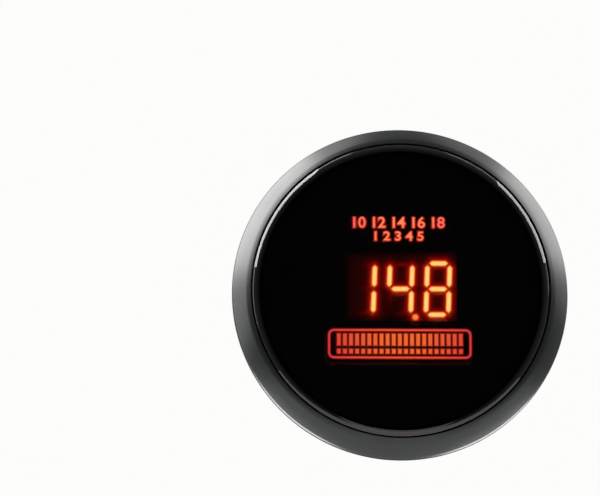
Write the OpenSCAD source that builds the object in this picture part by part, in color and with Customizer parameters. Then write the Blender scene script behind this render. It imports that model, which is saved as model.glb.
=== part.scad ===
// Round dashboard gauge with a three-digit light-up display.
// The dial looks towards -Y, +Z is up and +X is to the right of the dial.
// The origin is the centre of the face that rests on the front of the panel.
// Inside the modules the parts are drawn lying on their back: x is right, y is up
// and heights are counted from the panel's front face towards the driver.

/* [Panel and clamp] */
// Thickness of the panel that the gauge is clamped to
panel_t = 3; // [2:0.5:5]
// Thinnest panel that the clamp closes on
panel_min = 1; // [0.5:0.5:1.5]
// How far the clamp draws back from its place behind this panel
clamp_travel = 8; // [6:1:10]
// Width of the steel strap that the clamp is bent from
strap_w = 9; // [8:1:14]
// Thickness of the clamp's strap
strap_t = 1.2; // [1:0.1:2]
// Inside radius of the strap's two bends
strap_bend = 3; // [1.5:0.5:3.5]
// Space between the clamp's legs and the side of the housing
leg_gap = 1.3; // [1.3:0.1:2]
// Space left behind the housing on the thinnest panel
strap_gap = 0.5; // [0.3:0.1:1]

/* [Housing] */
// Wall of the housing
housing_wall = 1.8; // [1.5:0.1:2]
// How far the housing's front collar stands out past its side
collar_w = 1.6; // [1.4:0.1:1.8]
// Height of the collar's rim above the panel
collar_h = 2.4; // [2.2:0.1:2.8]
// Width of the step inside the rim that the dial lies on
dial_step_w = 1.4; // [1.2:0.1:1.6]
// Chamfer round the housing's rear edge
rear_chamfer = 0.6; // [0.3:0.1:0.9]
// Height of the snap ridge round the collar
snap_h = 0.25; // [0.2:0.05:0.3]
// Thickness of the rear cover
cover_t = 2; // [1.8:0.1:2.6]
// Length of the screw bosses inside the housing
boss_l = 6; // [5.6:0.2:7]
// Diameter of the screw bosses
boss_d = 5.2; // [4.8:0.2:5.6]
// Width of the four ribs that carry the display board
rib_w = 2.4; // [2:0.2:3]
// How far the ribs stand in from the housing's wall
rib_in = 1.8; // [1.4:0.1:2.2]

/* [Bezel] */
// Outside diameter of the bezel
bezel_d = 60; // [50:1:72]
// Thickness of the bezel's side round the housing's collar
bezel_side = 2.35; // [2.2:0.05:2.6]
// Height of the bezel's shoulder above the panel
bezel_h = 5.1; // [5:0.1:5.6]
// Height of the bezel's upright outer edge
bezel_edge_h = 1; // [0.5:0.1:1.2]
// Height at which the sloped front band starts
band_foot_h = 2.1; // [1.7:0.1:2.3]
// How far the foot of the band lies inside the outer edge
band_foot_w = 0.4; // [0.3:0.05:0.8]
// How far the head of the band lies outside the bezel's mouth
band_head_w = 0.9; // [0.6:0.05:1]
// Drop from the shoulder to the head of the band
band_head_drop = 0.5; // [0.3:0.05:0.6]
// How far the band's crown swells
band_crown = 0.08; // [0.04:0.01:0.2]

/* [Lens] */
// Thickness of the smoked lens
lens_t = 2.5; // [2.2:0.1:3]
// Thickness of the flange that the bezel holds the lens by
flange_t = 1; // [0.8:0.1:1.2]
// Width of that flange
flange_w = 0.85; // [0.7:0.05:1]
// Width of the open groove between the lens and the bezel
groove_w = 0.1; // [0.1:0.05:0.6]
// Width of the lens's rounded edge
lens_round_w = 1.75; // [1.2:0.05:2]
// Drop of the lens's rounded edge
lens_round_h = 0.8; // [0.5:0.05:1]
// Thickness of the rubber ring under the lens
gasket_t = 0.8; // [0.6:0.1:1]

/* [Dial] */
// Thickness of the dial plate
dial_t = 0.5; // [0.4:0.1:0.8]
// Width of the window over the digits
window_w = 20; // [19:0.5:20.5]
// Height of the window over the digits
window_h = 12.6; // [12:0.1:12.8]
// Height of that window's middle above the dial's centre
window_y = 0.85; // [0.6:0.05:1.1]
// Width of the window over the dial's row of numbers
upper_w = 18.6; // [17:0.2:20]
// Height of the window over the dial's row of numbers
upper_h = 5.4; // [5:0.1:5.8]
// Gap between that window and the digits' window
upper_gap = 1.6; // [1.5:0.05:2]
// Width of the window over the bar scale
lower_w = 26; // [24:0.5:28]
// Height of the window over the bar scale
lower_h = 5.8; // [5.4:0.1:6]
// Gap between that window and the digits' window
lower_gap = 1.2; // [1.1:0.05:1.6]
// Ledge of the light box that each window film rests on
film_ledge = 0.5; // [0.4:0.1:0.7]

/* [Digits] */
// How far the display block reaches past the window on the left and right
display_lip_w = 0.7; // [0.5:0.1:1]
// How far the display block reaches past the window above and below
display_lip_h = 0.25; // [0.15:0.05:0.35]
// Depth of the display block
display_t = 6.2; // [5.8:0.1:7]
// Distance from a digit's right bars to the next digit's left bars
digit_gap = 2.68; // [2.5:0.02:3]
// How much less than the window's height the digits' top and bottom bars span
bar_margin = 3.32; // [3:0.02:3.6]
// Width of a bar
bar_w = 1; // [0.8:0.05:1.1]
// Gap between the tips of two bars
bar_gap = 0.5; // [0.4:0.02:0.6]
// Lean of the digits
digit_lean = 2.4; // [0:0.2:4]
// Diameter of a decimal point
point_d = 1.16; // [0.9:0.02:1.2]
// Depth of the bars in the display block
bar_t = 0.5; // [0.3:0.1:0.8]

/* [Boards] */
// Thickness of both circuit boards
board_t = 1.6; // [1.2:0.2:1.8]
// Space between the two boards
board_room = 12.1; // [10.5:0.1:20]
// Distance of the board spacers' middles from the power board's edge
spacer_edge = 3.4; // [3:0.1:4.4]
// Width of a board spacer over its corners
spacer_d = 5; // [4.6:0.2:5.2]
// Distance between two terminals of the board link
link_pitch = 2.54; // [2.4:0.02:2.6]
// Height of the filter capacitor
capacitor_h = 8; // [6:0.5:8.5]
// Diameter of the filter capacitor
capacitor_d = 8; // [6.3:0.1:8]

/* [Rear connector] */
// Space between the middle of an outer terminal and the shroud's wall
terminal_room = 1.09; // [0.9:0.05:1.4]
// Height of the connector's shroud
shroud_h = 6.8; // [6.6:0.1:7]
// Wall of the connector's shroud
shroud_wall = 1.1; // [0.9:0.1:1.2]
// How far the shroud stands out behind the rear cover
shroud_out = 6.5; // [6:0.5:9]
// Thickness of the shroud's floor
shroud_floor = 3; // [2.5:0.5:4]
// Distance of the connector below the dial's axis
connector_y = 14; // [13.6:0.1:14.2]
// Number of terminals
terminals = 4; // [3:1:5]
// Distance between two terminals
terminal_pitch = 2.54; // [2.4:0.02:2.54]
// Width of a square terminal
terminal_w = 0.64; // [0.5:0.02:0.7]
// Depth of the terminals' tips below the shroud's mouth
terminal_drop = 4.6; // [4.5:0.1:5.5]

/* [Studs and thumb nuts] */
// Diameter of the two studs
stud_d = 4; // [3.6:0.1:4.2]
// Length of stud left past the thumb nuts when the clamp is drawn right back
stud_spare = 2.5; // [1:0.1:6]
// Distance between the two studs
stud_span = 28; // [26:1:30]
// Diameter of the knurled head of a thumb nut
nut_d = 11; // [10:0.5:13]
// Height of the knurled head of a thumb nut
nut_h = 4.5; // [4:0.5:5.5]
// Diameter of a thumb nut's collar
nut_collar_d = 7.2; // [6.6:0.2:8]
// Height of a thumb nut's collar
nut_collar_h = 1.5; // [1:0.5:2]
// Number of grooves round a thumb nut
nut_grooves = 20; // [16:1:24]
// Thickness of a plain washer
washer_t = 0.8; // [0.6:0.1:1]
// Diameter of a plain washer
washer_d = 8.6; // [8.4:0.2:10]
// Thickness of a spring washer
spring_t = 1; // [0.8:0.1:1.2]

/* [Hidden] */
$fn = 96;

// Overrun of every cut, and the clearances between pieces
over = 1;
fit_gap = 0.05;
slip_gap = 0.1;
easy_gap = 0.2;
loose_gap = 0.4;

// Radii, from the bezel inwards
bezel_r = bezel_d / 2;
bezel_bore_r = bezel_r - bezel_side;
collar_r = bezel_bore_r - fit_gap;
housing_r = collar_r - collar_w;
inner_r = housing_r - housing_wall;
dial_step_r = inner_r + dial_step_w;
dial_r = dial_step_r - slip_gap;
board_r = inner_r - loose_gap;
rib_inner_r = inner_r - rib_in;
power_r = rib_inner_r - loose_gap;
spacer_r = power_r - spacer_edge;
flange_r = collar_r - slip_gap * 3;
lens_r = flange_r - flange_w;
mouth_r = lens_r + groove_w;

// Places and sizes that follow the window over the digits
upper_y = window_y + window_h / 2 + upper_gap + upper_h / 2;
lower_y = window_h / 2 - window_y + lower_gap + lower_h / 2;
display_w = window_w + display_lip_w * 2;
display_h = window_h + display_lip_h * 2;
digit_pitch = window_w / 3;
bar_span = digit_pitch - digit_gap;
bar_rise = window_h - bar_margin;

// Width of the connector's shroud
shroud_w = (terminals - 1) * terminal_pitch + terminal_room * 2 + shroud_wall * 2;

// Heights above the panel's front face, from the lens to the ends of the studs
lens_back_h = collar_h + gasket_t;
lens_front_h = lens_back_h + lens_t;
flange_h = lens_back_h + flange_t;
dial_back_h = collar_h - dial_t;
board_front_h = dial_back_h - display_t;
board_back_h = board_front_h - board_t;
power_front_h = board_back_h - board_room;
power_back_h = power_front_h - board_t;
boss_top_h = power_back_h - loose_gap;
cover_front_h = boss_top_h - boss_l;
cover_back_h = cover_front_h - cover_t;
mouth_h = cover_back_h - shroud_out;
strap_front_h = cover_back_h - strap_gap - (panel_t - panel_min);
strap_back_h = strap_front_h - strap_t;
nut_front_h = strap_back_h - washer_t - spring_t;
nut_back_h = nut_front_h - nut_collar_h - nut_h;
stud_end_h = nut_back_h - clamp_travel - stud_spare;

// Snap ridge and its groove
snap_foot_h = 0.8;
snap_top_h = 1.6;
edge_break = 0.3;
lip_break = 0.12;

// Points on the arc that bows out to the right of the line from p to q
function bow(p, q, sag, steps) =
    let (d = q - p, c = norm(d), r = (c * c / 4 + sag * sag) / (2 * sag),
         out = [d[1], -d[0]] / c, o = (p + q) / 2 - out * (r - sag),
         mid = atan2(out[1], out[0]), half = asin(c / 2 / r))
    [for (i = [0 : steps]) let (a = mid - half + 2 * half * i / steps)
        o + r * [cos(a), sin(a)]];

// Points on a quarter turn about a centre
function quarter(o, r, from, steps) =
    [for (i = [0 : steps]) let (a = from + 90 * i / steps) o + r * [cos(a), sin(a)]];

// Stands the gauge up so that its dial looks towards -Y
module facing() {
    rotate([90, 0, 0]) children();
}

module disc(r, from_h, to_h) {
    translate([0, 0, min(from_h, to_h)]) cylinder(r = r, h = abs(to_h - from_h));
}

module block(w, d, from_h, to_h) {
    translate([-w / 2, -d / 2, min(from_h, to_h)]) cube([w, d, abs(to_h - from_h)]);
}

module ring(outer, inner, from_h, to_h) {
    difference() {
        disc(outer, from_h, to_h);
        disc(inner, from_h - over, to_h + over);
    }
}

// Bezel and lens

module bezel() {
    foot = [bezel_r - band_foot_w, band_foot_h];
    head = [mouth_r + band_head_w, bezel_h - band_head_drop];
    lip = [mouth_r + lip_break, bezel_h];
    edge_sag = 0.1;
    shoulder_sag = 0.05;
    color([0.13, 0.14, 0.14]) facing() rotate_extrude() polygon(concat(
        [[bezel_bore_r, 0], [bezel_r - edge_break, 0], [bezel_r, edge_break]],
        bow([bezel_r, bezel_edge_h], foot, edge_sag, 6),
        bow(foot, head, band_crown, 8),
        bow(head, lip, shoulder_sag, 4),
        [[mouth_r, bezel_h - lip_break], [mouth_r, flange_h], [bezel_bore_r, flange_h],
         [bezel_bore_r, snap_top_h + slip_gap],
         [bezel_bore_r + snap_h + fit_gap, snap_top_h + slip_gap],
         [bezel_bore_r + snap_h + fit_gap, snap_foot_h - slip_gap],
         [bezel_bore_r, snap_foot_h - slip_gap]]));
}

module lens() {
    round_sag = 0.21;
    color([0.04, 0.03, 0.03, 0.6]) facing() rotate_extrude() polygon(concat(
        [[0, lens_back_h], [flange_r, lens_back_h], [flange_r, flange_h], [lens_r, flange_h]],
        bow([lens_r, lens_front_h - lens_round_h],
            [lens_r - lens_round_w, lens_front_h], round_sag, 6),
        [[0, lens_front_h]]));
}

module lens_gasket() {
    gasket_inner_r = inner_r + easy_gap;
    color([0.06, 0.06, 0.06]) facing()
        ring(flange_r - slip_gap, gasket_inner_r, collar_h, lens_back_h);
}

// Dial, its window films and the light box behind it

module upper_place() {
    translate([0, upper_y, 0]) children();
}

module lower_place() {
    translate([0, -lower_y, 0]) children();
}

module display_place() {
    translate([0, window_y, 0]) children();
}

module dial_plate() {
    color([0.03, 0.03, 0.03]) facing() difference() {
        disc(dial_r, dial_back_h, collar_h);
        display_place() block(window_w, window_h, dial_back_h - over, collar_h + over);
        upper_place() block(upper_w, upper_h, dial_back_h - over, collar_h + over);
        lower_place() block(lower_w, lower_h, dial_back_h - over, collar_h + over);
    }
}

module upper_window_film() {
    color([0.85, 0.3, 0.15]) facing() upper_place()
        block(upper_w - fit_gap, upper_h - fit_gap, dial_back_h, collar_h);
}

module lower_window_film() {
    color([0.85, 0.3, 0.15]) facing() lower_place()
        block(lower_w - fit_gap, lower_h - fit_gap, dial_back_h, collar_h);
}

module light_box() {
    ring_wall = 1.4;
    frame_wall = 1;
    web_t = 1.2;
    chamber = film_ledge * 2;
    room_w = display_w + easy_gap;
    room_h = display_h + easy_gap;
    color([0.75, 0.75, 0.72]) facing() difference() {
        union() {
            ring(board_r, board_r - ring_wall, board_front_h, dial_back_h);
            disc(board_r - ring_wall / 2, dial_back_h - web_t, dial_back_h);
            display_place()
                block(room_w + frame_wall * 2, room_h + frame_wall * 2, board_front_h, dial_back_h);
            upper_place()
                block(upper_w + frame_wall, upper_h + frame_wall, board_front_h, dial_back_h);
            lower_place()
                block(lower_w + frame_wall, lower_h + frame_wall, board_front_h, dial_back_h);
        }
        display_place() block(room_w, room_h, board_front_h - over, dial_back_h + over);
        upper_place()
            block(upper_w - chamber, upper_h - chamber, board_front_h - over, dial_back_h + over);
        lower_place()
            block(lower_w - chamber, lower_h - chamber, board_front_h - over, dial_back_h + over);
    }
}

module scale_lamps() {
    lamp_w = 3.4;
    lamp_h = 2.8;
    lamp_t = 1.9;
    upper_step = upper_w / 3;
    lower_step = lower_w / 3;
    color([0.9, 0.85, 0.6]) facing() for (i = [-1 : 1]) {
        translate([i * upper_step, 0, 0]) upper_place()
            block(lamp_w, lamp_h, board_front_h, board_front_h + lamp_t);
        translate([i * lower_step, 0, 0]) lower_place()
            block(lamp_w, lamp_h, board_front_h, board_front_h + lamp_t);
    }
}

// Digits

digit_drop = 0.4;
point_out = 2.84;
point_under = 0.46;

// Bars of a digit in the order top, upper right, lower right, bottom, lower left,
// upper left and middle, with the decimal point last
lit = [[0, 1, 1, 0, 0, 0, 0, 0], [0, 1, 1, 0, 0, 1, 1, 1], [1, 1, 1, 1, 1, 1, 1, 0]];

function lean(p) = [p[0] + p[1] * tan(digit_lean), p[1]];

// Six-sided outline of a bar, flat or upright, that spans from one corner to the next
function bar(x, y, length, upright) =
    let (half = (length - bar_gap) / 2, w = bar_w / 2,
         flat = [[-half, 0], [w - half, -w], [half - w, -w], [half, 0],
                 [half - w, w], [w - half, w]])
    [for (p = flat) lean([x, y] + (upright ? [-p[1], p[0]] : p))];

function bars() =
    let (x = bar_span / 2, y = bar_rise / 2, l = bar_rise / 2)
    [bar(0, y, bar_span, false), bar(x, y / 2, l, true), bar(x, -y / 2, l, true),
     bar(0, -y, bar_span, false), bar(-x, -y / 2, l, true), bar(-x, y / 2, l, true),
     bar(0, 0, bar_span, false)];

// Every bar and point whose state is the one asked for, from one height to another
module digit_bars(state, from_h, to_h) {
    outlines = bars();
    for (d = [0 : 2]) translate([(d - 1) * digit_pitch, -digit_drop, from_h]) {
        for (b = [0 : 6]) if (lit[d][b] == state)
            linear_extrude(to_h - from_h) polygon(outlines[b]);
        if (lit[d][7] == state)
            translate(lean([point_out, -bar_rise / 2 - point_under]))
                cylinder(d = point_d, h = to_h - from_h);
    }
}

module display_body() {
    color([0.1, 0.02, 0.02]) facing() display_place() difference() {
        block(display_w, display_h, board_front_h, dial_back_h);
        digit_bars(0, dial_back_h - bar_t, dial_back_h + over);
        digit_bars(1, dial_back_h - bar_t, dial_back_h + over);
    }
}

module lit_bars() {
    color([1, 0.75, 0.3]) facing() display_place()
        digit_bars(1, dial_back_h - bar_t, dial_back_h);
}

module unlit_bars() {
    color([0.2, 0.03, 0.03]) facing() display_place()
        digit_bars(0, dial_back_h - bar_t, dial_back_h);
}

// Display board and what is soldered to it

pin_columns = 6;
pin_pitch = 2.54;
pin_rows = 10.16;
pin_d = 0.5;
pin_out = 1.2;

module display_pin_places() {
    for (i = [0 : pin_columns - 1], s = [-1, 1])
        translate([(i - (pin_columns - 1) / 2) * pin_pitch, window_y + s * pin_rows / 2, 0])
            children();
}

module display_pins() {
    color([0.8, 0.8, 0.8]) facing() display_pin_places()
        disc(pin_d / 2, board_back_h - pin_out, board_front_h);
}

// Three places round the boards, the first one at the top
module spacer_places() {
    for (a = [90, 210, 330]) rotate(a) translate([spacer_r, 0, 0]) children();
}

spigot_d = 2.8;

module display_board() {
    color([0.05, 0.25, 0.12]) facing() difference() {
        disc(board_r, board_back_h, board_front_h);
        display_pin_places() disc(pin_d / 2 + slip_gap, board_back_h - over, board_front_h + over);
        spacer_places() disc(spigot_d / 2 + fit_gap, board_back_h - over, board_front_h + over);
    }
}

chip_x = 12.5;
chip_y = 1.5;
chip_t = 1.2;
chip_w = 7;
driver_l = 10;
driver_w = 4;
lead_t = 0.15;
lead_w = 0.35;
lead_reach = 1;
lead_foot = 0.5;

module controller_chip() {
    color([0.1, 0.1, 0.1]) facing() translate([-chip_x, chip_y, 0])
        block(chip_w, chip_w, board_back_h - slip_gap - chip_t, board_back_h - slip_gap);
}

module driver_chip() {
    color([0.1, 0.1, 0.1]) facing() translate([chip_x, chip_y, 0])
        block(driver_w, driver_l, board_back_h - slip_gap - chip_t, board_back_h - slip_gap);
}

// One row of bent leads down the side of a chip
module lead_row(half_w, count, pitch) {
    mid = board_back_h - slip_gap - chip_t / 2;
    knee = half_w + lead_reach - lead_foot;
    tip = half_w + lead_reach;
    for (i = [0 : count - 1])
        translate([0, (i - (count - 1) / 2) * pitch + lead_w / 2, 0]) rotate([90, 0, 0])
            linear_extrude(lead_w) polygon([
                [half_w, mid], [knee - lead_t, mid], [knee - lead_t, board_back_h],
                [tip, board_back_h], [tip, board_back_h - lead_t],
                [knee, board_back_h - lead_t], [knee, mid - lead_t], [half_w, mid - lead_t]]);
}

module chip_leads() {
    chip_rows = 8;
    chip_pitch = 0.8;
    driver_rows = 8;
    driver_pitch = 1.1;
    color([0.8, 0.8, 0.8]) facing() {
        translate([-chip_x, chip_y, 0]) for (a = [0 : 90 : 270])
            rotate(a) lead_row(chip_w / 2, chip_rows, chip_pitch);
        translate([chip_x, chip_y, 0]) for (a = [0, 180])
            rotate(a) lead_row(driver_w / 2, driver_rows, driver_pitch);
    }
}

part_w = 1.25;
part_l = 2;
part_step = 2.4;

// A row of small soldered parts on the back of the display board
module small_parts(count, y, part_t) {
    for (i = [0 : count - 1]) translate([(i - (count - 1) / 2) * part_step, y, 0])
        block(part_w, part_l, board_back_h - part_t, board_back_h);
}

module board_resistors() {
    resistor_t = 0.5;
    row_y = -7.2;
    color([0.12, 0.12, 0.14]) facing() small_parts(8, row_y, resistor_t);
}

module board_capacitors() {
    ceramic_t = 0.9;
    row_y = -10.6;
    color([0.6, 0.45, 0.3]) facing() small_parts(6, row_y, ceramic_t);
}

module clock_crystal() {
    can_l = 11.5;
    can_w = 4.7;
    can_t = 3.5;
    foot_t = 0.6;
    foot_l = 12.7;
    crystal_edge = 4.2;
    color([0.75, 0.75, 0.75]) facing() translate([0, crystal_edge - board_r, 0]) {
        block(foot_l, can_w + easy_gap, board_back_h - foot_t, board_back_h);
        translate([0, 0, board_back_h - can_t]) linear_extrude(can_t - foot_t) union() {
            square([can_l - can_w, can_w], center = true);
            for (s = [-1, 1]) translate([s * (can_l - can_w) / 2, 0]) circle(d = can_w);
        }
    }
}

// Spacers between the two boards

screw_d = 2.5;
screw_head_d = 4.4;
screw_head_h = 1.5;
screw_l = 7;

module board_spacers() {
    color([0.75, 0.6, 0.3]) facing() spacer_places() difference() {
        union() {
            translate([0, 0, power_front_h])
                cylinder(d = spacer_d, h = board_back_h - power_front_h, $fn = 6);
            disc(spigot_d / 2, board_back_h - fit_gap, board_front_h);
        }
        disc(screw_d / 2 + fit_gap, power_front_h - over, power_back_h + screw_l + loose_gap);
    }
}

slot_w_share = 0.2;
slot_h_share = 0.45;

// Screw with a slotted cheese head, its shank towards the driver
module cheese_screw(shank_d, shank_l, head_d, head_h) {
    slot_w = head_d * slot_w_share;
    slot_h = head_h * slot_h_share;
    difference() {
        union() {
            disc(shank_d / 2, -head_h, shank_l);
            disc(head_d / 2, -head_h, 0);
        }
        block(head_d + over, slot_w, -head_h - over, slot_h - head_h);
    }
}

module spacer_screws() {
    color([0.7, 0.7, 0.72]) facing() spacer_places() translate([0, 0, power_back_h])
        cheese_screw(screw_d, screw_l, screw_head_d, screw_head_h);
}

// Power board and what is soldered to it

link_ways = 6;
link_room = 2.6;
link_y = window_y + pin_rows / 2 + link_room;
link_w = 2.5;
link_header_t = 2.5;

module link_places() {
    for (i = [0 : link_ways - 1])
        translate([(i - (link_ways - 1) / 2) * link_pitch, link_y, 0]) children();
}

module terminal_places() {
    for (i = [0 : terminals - 1])
        translate([(i - (terminals - 1) / 2) * terminal_pitch, -connector_y, 0]) children();
}

module power_board() {
    hole_w = terminal_w + slip_gap * 2;
    color([0.05, 0.25, 0.12]) facing() difference() {
        disc(power_r, power_back_h, power_front_h);
        spacer_places() disc(screw_d / 2 + slip_gap, power_back_h - over, power_front_h + over);
        link_places() block(hole_w, hole_w, power_back_h - over, power_front_h + over);
        terminal_places() block(hole_w, hole_w, power_back_h - over, power_front_h + over);
    }
}

module voltage_regulator() {
    body_w = 6.6;
    body_l = 6.1;
    body_t = 2.3;
    tab_w = 5.3;
    tab_l = 1.4;
    tab_t = 0.6;
    leg_w = 0.9;
    leg_l = 2.6;
    leg_x = 2.3;
    regulator_x = -11;
    regulator_y = 2;
    color([0.1, 0.1, 0.1]) facing() translate([regulator_x, regulator_y, 0]) union() {
        block(body_w, body_l, power_front_h, power_front_h + body_t);
        translate([0, body_l / 2, 0]) block(tab_w, tab_l * 2, power_front_h, power_front_h + tab_t);
        for (s = [-1, 1]) translate([s * leg_x, -body_l / 2, 0])
            block(leg_w, leg_l * 2, power_front_h, power_front_h + tab_t);
    }
}

module filter_capacitor() {
    base_t = 1;
    crimp_h = 1.2;
    crimp_w = 0.3;
    capacitor_x = 11;
    capacitor_y = 2;
    r = capacitor_d / 2;
    color([0.35, 0.36, 0.4]) facing() translate([capacitor_x, capacitor_y, power_front_h]) union() {
        block(capacitor_d + easy_gap, capacitor_d + easy_gap, 0, base_t);
        rotate_extrude() polygon([
            [0, base_t - slip_gap], [r - crimp_w, base_t - slip_gap], [r - crimp_w, base_t],
            [r, base_t + crimp_w], [r, base_t + crimp_h], [r - crimp_w, base_t + crimp_h + crimp_w],
            [r, base_t + crimp_h + crimp_w * 2], [r, capacitor_h - crimp_w],
            [r - crimp_w, capacitor_h], [0, capacitor_h]]);
    }
}

module power_inductor() {
    inductor_w = 7;
    inductor_t = 4;
    corner = 1.5;
    inductor_y = -5;
    color([0.2, 0.2, 0.2]) facing() translate([0, inductor_y, power_front_h])
        linear_extrude(inductor_t) difference() {
            square(inductor_w, center = true);
            for (a = [0 : 90 : 270]) rotate(a) translate([inductor_w / 2, inductor_w / 2])
                rotate(45) square(corner, center = true);
        }
}

module protection_diode() {
    diode_w = 4.4;
    diode_h = 2.6;
    diode_t = 2.2;
    tab_out = 0.6;
    tab_t = 0.3;
    diode_y = 4;
    color([0.1, 0.1, 0.1]) facing() translate([0, diode_y, 0]) union() {
        block(diode_w, diode_h, power_back_h - diode_t, power_back_h);
        block(diode_w + tab_out * 2, diode_h / 2, power_back_h - tab_t, power_back_h);
    }
}

// Block of the board link, with a square hole for each pin
module link_block(from_h, to_h) {
    hole_w = terminal_w + slip_gap * 2;
    difference() {
        translate([0, link_y, 0]) block(link_pitch * link_ways, link_w, from_h, to_h);
        link_places() block(hole_w, hole_w, from_h - over, to_h + over);
    }
}

module link_socket() {
    color([0.08, 0.08, 0.08]) facing() link_block(power_front_h + link_header_t, board_back_h);
}

module link_header() {
    color([0.08, 0.08, 0.08]) facing() link_block(power_front_h, power_front_h + link_header_t);
}

module link_pins() {
    pin_grip = 5;
    color([0.8, 0.7, 0.4]) facing() link_places()
        block(terminal_w, terminal_w, power_back_h - pin_out,
              power_front_h + link_header_t + pin_grip);
}

// Rear connector

module connector_shroud() {
    cavity_w = shroud_w - shroud_wall * 2;
    cavity_h = shroud_h - shroud_wall * 2;
    key_w = 3;
    key_l = 4;
    hole_w = terminal_w + slip_gap * 2;
    color([0.1, 0.1, 0.1]) facing() difference() {
        translate([0, -connector_y, 0]) difference() {
            block(shroud_w, shroud_h, mouth_h, power_back_h);
            block(cavity_w, cavity_h, mouth_h - over, power_back_h - shroud_floor);
            translate([0, -shroud_h / 2, 0])
                block(key_w, shroud_wall * 2 + over, mouth_h - over, mouth_h + key_l);
        }
        terminal_places() block(hole_w, hole_w, mouth_h, power_back_h + over);
    }
}

module connector_pins() {
    color([0.8, 0.8, 0.8]) facing() terminal_places()
        block(terminal_w, terminal_w, mouth_h + terminal_drop, power_front_h + pin_out);
}

// Housing, rear cover and their screws

cover_screw_d = 2.2;
cover_screw_l = 5.6;
cover_head_d = 4;
cover_head_h = 1.2;
boss_sink_share = 0.3;
boss_r = rib_inner_r - boss_d * boss_sink_share;

// Directions of the four ribs and screw bosses
boss_angles = [50, 130, 230, 310];

module boss_places() {
    for (a = boss_angles) rotate(a) translate([boss_r, 0, 0]) children();
}

module housing() {
    color([0.12, 0.12, 0.12]) facing() difference() {
        union() {
            rotate_extrude() polygon([
                [inner_r, cover_back_h], [housing_r - rear_chamfer, cover_back_h],
                [housing_r, cover_back_h + rear_chamfer], [housing_r, 0], [collar_r, 0],
                [collar_r, snap_foot_h], [collar_r + snap_h, snap_foot_h + snap_h],
                [collar_r + snap_h, snap_top_h - snap_h], [collar_r, snap_top_h],
                [collar_r, collar_h], [dial_step_r, collar_h], [dial_step_r, dial_back_h],
                [inner_r, dial_back_h]]);
            for (a = boss_angles) rotate(a) translate([rib_inner_r, -rib_w / 2, cover_front_h])
                cube([rib_in + housing_wall / 2, rib_w, board_back_h - cover_front_h]);
            boss_places() disc(boss_d / 2, cover_front_h, boss_top_h);
        }
        boss_places() disc(cover_screw_d / 2 + fit_gap, cover_front_h - over, boss_top_h - loose_gap);
    }
}

module stud_place(side) {
    translate([side * stud_span / 2, 0, 0]) children();
}

module rear_cover() {
    opening_w = shroud_w + loose_gap;
    opening_h = shroud_h + loose_gap;
    color([0.12, 0.12, 0.12]) facing() difference() {
        disc(inner_r - slip_gap, cover_back_h, cover_front_h);
        for (s = [-1, 1]) stud_place(s)
            disc(stud_d / 2 + fit_gap, cover_back_h - over, cover_front_h + over);
        translate([0, -connector_y, 0])
            block(opening_w, opening_h, cover_back_h - over, cover_front_h + over);
        boss_places() {
            disc(cover_screw_d / 2 + slip_gap, cover_back_h - over, cover_front_h + over);
            disc(cover_head_d / 2 + slip_gap, cover_back_h - over, cover_back_h + cover_head_h);
        }
    }
}

module cover_screws() {
    color([0.5, 0.5, 0.52]) facing() boss_places()
        translate([0, 0, cover_back_h + cover_head_h])
            cheese_screw(cover_screw_d, cover_screw_l, cover_head_d, cover_head_h);
}

// Stud, with a flat head that bears on the inside of the rear cover
module stud() {
    head_r = 3.4;
    head_h = 1.2;
    tip = 0.5;
    r = stud_d / 2;
    color([0.75, 0.75, 0.77]) facing() rotate_extrude() polygon([
        [0, stud_end_h], [r - tip, stud_end_h], [r, stud_end_h + tip], [r, cover_front_h],
        [head_r, cover_front_h], [head_r, cover_front_h + head_h],
        [0, cover_front_h + head_h]]);
}

module left_stud() {
    translate([-stud_span / 2, 0, 0]) stud();
}

module right_stud() {
    translate([stud_span / 2, 0, 0]) stud();
}

// Clamp, washers and thumb nuts

module clamp_bracket() {
    leg_in = housing_r + leg_gap;
    leg_out = leg_in + strap_t;
    bend_out = strap_bend + strap_t;
    hole_d = stud_d + easy_gap * 3;
    steps = 8;
    foot_h = -panel_t;
    right_outer = quarter([leg_out - bend_out, strap_back_h + bend_out], bend_out, 270, steps);
    right_inner = quarter([leg_in - strap_bend, strap_front_h + strap_bend], strap_bend, 270, steps);
    half = concat(right_outer, [[leg_out, foot_h], [leg_in, foot_h]],
                  [for (i = [steps : -1 : 0]) right_inner[i]]);
    mirrored = [for (i = [len(half) - 1 : -1 : 0]) [-half[i][0], half[i][1]]];
    color([0.75, 0.76, 0.78]) facing() difference() {
        rotate([90, 0, 0]) linear_extrude(strap_w, center = true) polygon(concat(half, mirrored));
        for (s = [-1, 1]) stud_place(s)
            disc(hole_d / 2, strap_back_h - over, strap_front_h + over);
    }
}

module plain_washers() {
    color([0.75, 0.76, 0.78]) facing() for (s = [-1, 1]) stud_place(s)
        ring(washer_d / 2, stud_d / 2 + easy_gap, strap_back_h - washer_t, strap_back_h);
}

module spring_washers() {
    spring_d = nut_collar_d;
    slit_w = 0.6;
    color([0.55, 0.56, 0.58]) facing() for (s = [-1, 1]) stud_place(s) difference() {
        ring(spring_d / 2, stud_d / 2 + easy_gap, nut_front_h, strap_back_h - washer_t);
        translate([spring_d / 2, 0, 0])
            block(spring_d, slit_w, nut_front_h - over, strap_back_h - washer_t + over);
    }
}

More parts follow.
